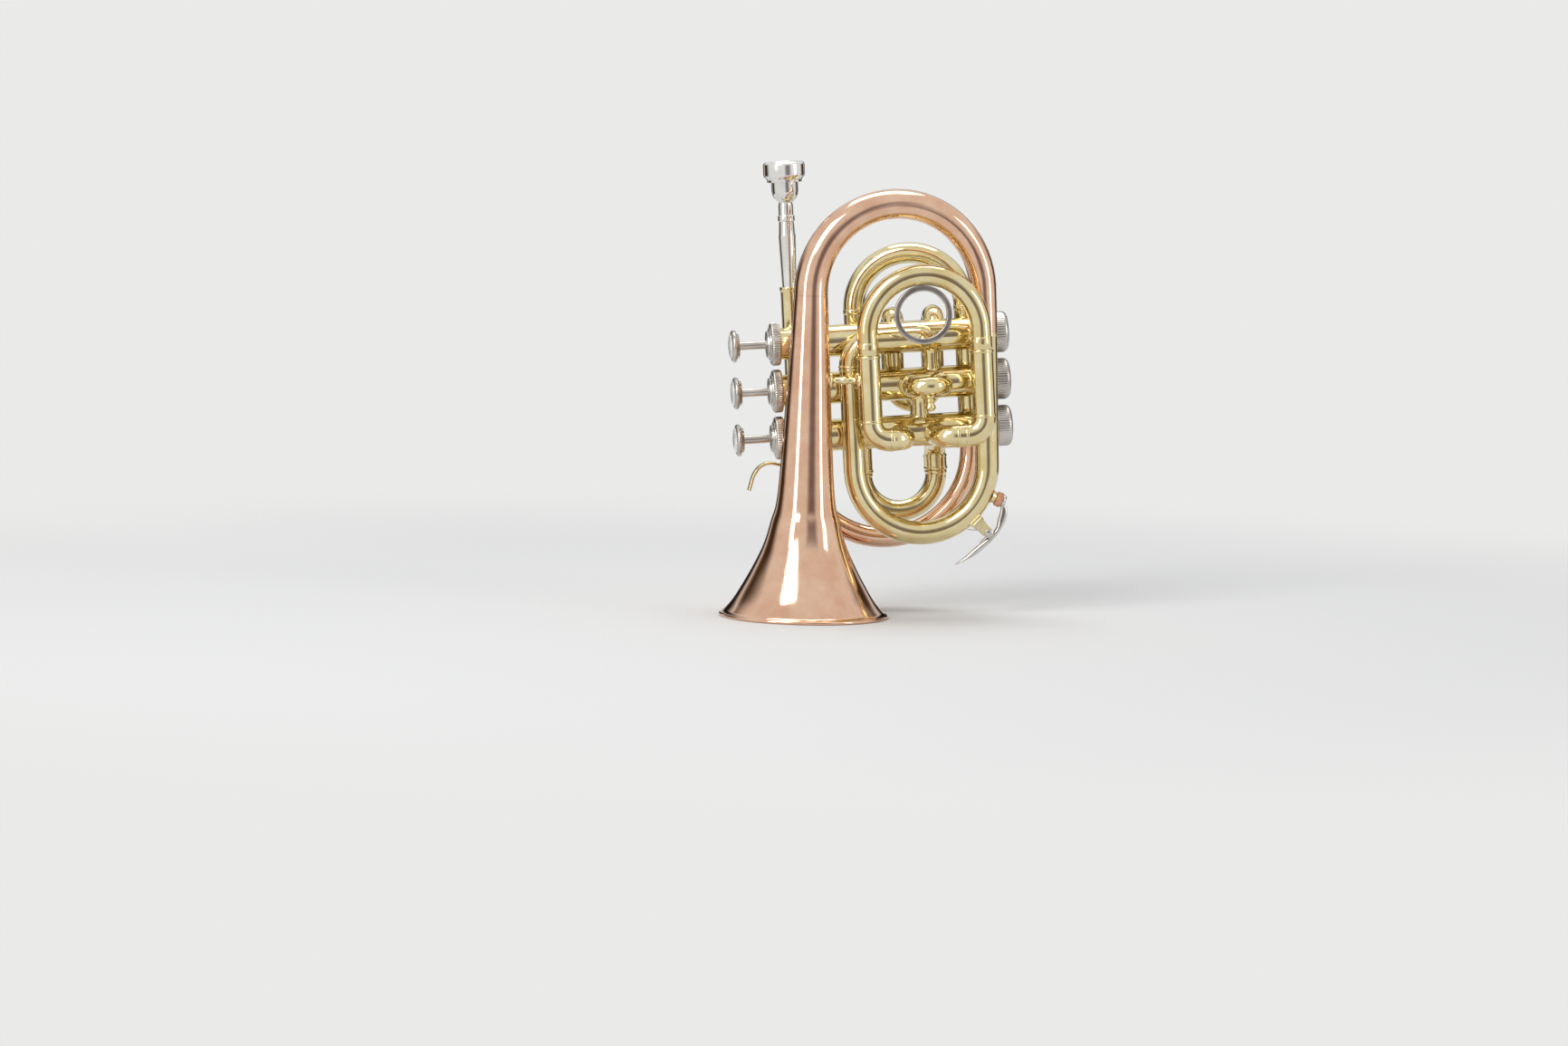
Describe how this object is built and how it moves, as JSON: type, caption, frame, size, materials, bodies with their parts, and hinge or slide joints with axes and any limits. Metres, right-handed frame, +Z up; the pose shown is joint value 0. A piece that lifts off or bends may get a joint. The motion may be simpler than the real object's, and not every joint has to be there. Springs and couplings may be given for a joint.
{
  "type": "pocket trumpet",
  "caption": "Compact coiled brass trumpet standing on its bell, with piston valves, pull-out slides, finger ring, little-finger hook, water key and mouthpiece.",
  "frame": {"origin": "middle of the part's box in X and Y, on the ground plane that the bell's rim stands on", "axes": "+Z up along the bell's axis, from its rim to its tail; +X from the finger buttons to the bottom caps; +Y from the bell's side to the leadpipe's side"},
  "size_m": [0.172, 0.1156, 0.2599],
  "materials": {
    "rose_brass": "polished rose brass under clear lacquer",
    "yellow_brass": "polished yellow brass under clear lacquer",
    "nickel_silver": "polished nickel silver",
    "silver_plate": "polished silver plate",
    "monel": "lapped nickel-copper alloy",
    "spring_bronze": "drawn bronze wire",
    "pearl_shell": "polished pearl shell",
    "cork": "natural cork"
  },
  "bodies": {
    "body": {"bell_branch": "yellow_brass", "bell_branch_elbow": "yellow_brass", "valve_casing_1": "yellow_brass", "top_cap_1": "nickel_silver", "bottom_cap_1": "nickel_silver", "valve_guide_1": "yellow_brass", "piston_spring_1": "spring_bronze", "valve_casing_2": "yellow_brass", "top_cap_2": "nickel_silver", "bottom_cap_2": "nickel_silver", "valve_guide_2": "yellow_brass", "piston_spring_2": "spring_bronze", "valve_casing_3": "yellow_brass", "top_cap_3": "nickel_silver", "bottom_cap_3": "nickel_silver", "valve_guide_3": "yellow_brass", "piston_spring_3": "spring_bronze", "knuckle_1_2": "yellow_brass", "knuckle_2_3": "yellow_brass", "third_slide_tube_left": "yellow_brass", "third_slide_tube_right": "yellow_brass", "second_slide_tube_left": "yellow_brass", "second_slide_tube_right": "yellow_brass", "first_slide_tube_left": "yellow_brass", "first_slide_tube_right": "yellow_brass", "return_bow": "yellow_brass", "tuning_slide_tube": "yellow_brass", "front_bow": "rose_brass", "leadpipe": "yellow_brass", "mouthpiece_receiver": "yellow_brass", "pinky_hook": "yellow_brass", "leadpipe_brace": "yellow_brass", "return_tube_brace": "yellow_brass", "water_key_saddle": "yellow_brass", "water_key_spring": "spring_bronze", "bell": "rose_brass", "bell_bow": "rose_brass", "bell_brace": "yellow_brass"},
    "valve_1": {"piston_1": "monel", "valve_stem_1": "nickel_silver", "finger_button_1": "nickel_silver", "button_inlay_1": "pearl_shell"},
    "valve_2": {"piston_2": "monel", "valve_stem_2": "nickel_silver", "finger_button_2": "nickel_silver", "button_inlay_2": "pearl_shell"},
    "valve_3": {"piston_3": "monel", "valve_stem_3": "nickel_silver", "finger_button_3": "nickel_silver", "button_inlay_3": "pearl_shell"},
    "third_slide": {"third_slide_bow": "yellow_brass", "finger_ring": "nickel_silver"},
    "second_slide": {"second_slide_bow": "yellow_brass", "second_slide_knob": "nickel_silver"},
    "first_slide": {"first_slide_bow": "yellow_brass"},
    "tuning_slide": {"tuning_slide_bow": "yellow_brass"},
    "water_key": {"water_key_lever": "nickel_silver", "water_key_cork": "cork"},
    "mouthpiece_body": {"mouthpiece": "silver_plate"}
  },
  "joints": [
    {"name": "piston_1_press", "type": "slide", "parent": "body", "child": "valve_1", "axis": [0.9974, 0, 0.0724], "range_m": [0, 0.0155], "stiffness_N_per_m": 60, "springref_m": -0.03, "deforming": ["piston_spring_1"]},
    {"name": "piston_2_press", "type": "slide", "parent": "body", "child": "valve_2", "axis": [0.9974, 0, 0.0724], "range_m": [0, 0.0155], "stiffness_N_per_m": 60, "springref_m": -0.03, "deforming": ["piston_spring_2"]},
    {"name": "piston_3_press", "type": "slide", "parent": "body", "child": "valve_3", "axis": [0.9974, 0, 0.0724], "range_m": [0, 0.0155], "stiffness_N_per_m": 60, "springref_m": -0.03, "deforming": ["piston_spring_3"]},
    {"name": "third_slide_pull", "type": "slide", "parent": "body", "child": "third_slide", "axis": [-0.0724, 0, 0.9974], "range_m": [0, 0.025]},
    {"name": "second_slide_pull", "type": "slide", "parent": "body", "child": "second_slide", "axis": [0, -1, 0], "range_m": [0, 0.007]},
    {"name": "first_slide_pull", "type": "slide", "parent": "body", "child": "first_slide", "axis": [0.0724, 0, -0.9974], "range_m": [0, 0.014]},
    {"name": "tuning_slide_pull", "type": "slide", "parent": "body", "child": "tuning_slide", "axis": [0.0724, 0, -0.9974], "range_m": [0, 0.006]},
    {"name": "mouthpiece_pull", "type": "slide", "parent": "body", "child": "mouthpiece_body", "axis": [-0.0724, 0, 0.9974], "range_m": [0, 0.018]},
    {"name": "water_key_swing", "type": "hinge", "parent": "body", "child": "water_key", "pos_m": [0.07073, 0.0043, 0.04843], "axis": [0, 1, 0], "range_deg": [0, 14], "stiffness_Nm_per_rad": 0.02, "springref_deg": -22.92, "deforming": ["water_key_spring"]}
  ]
}
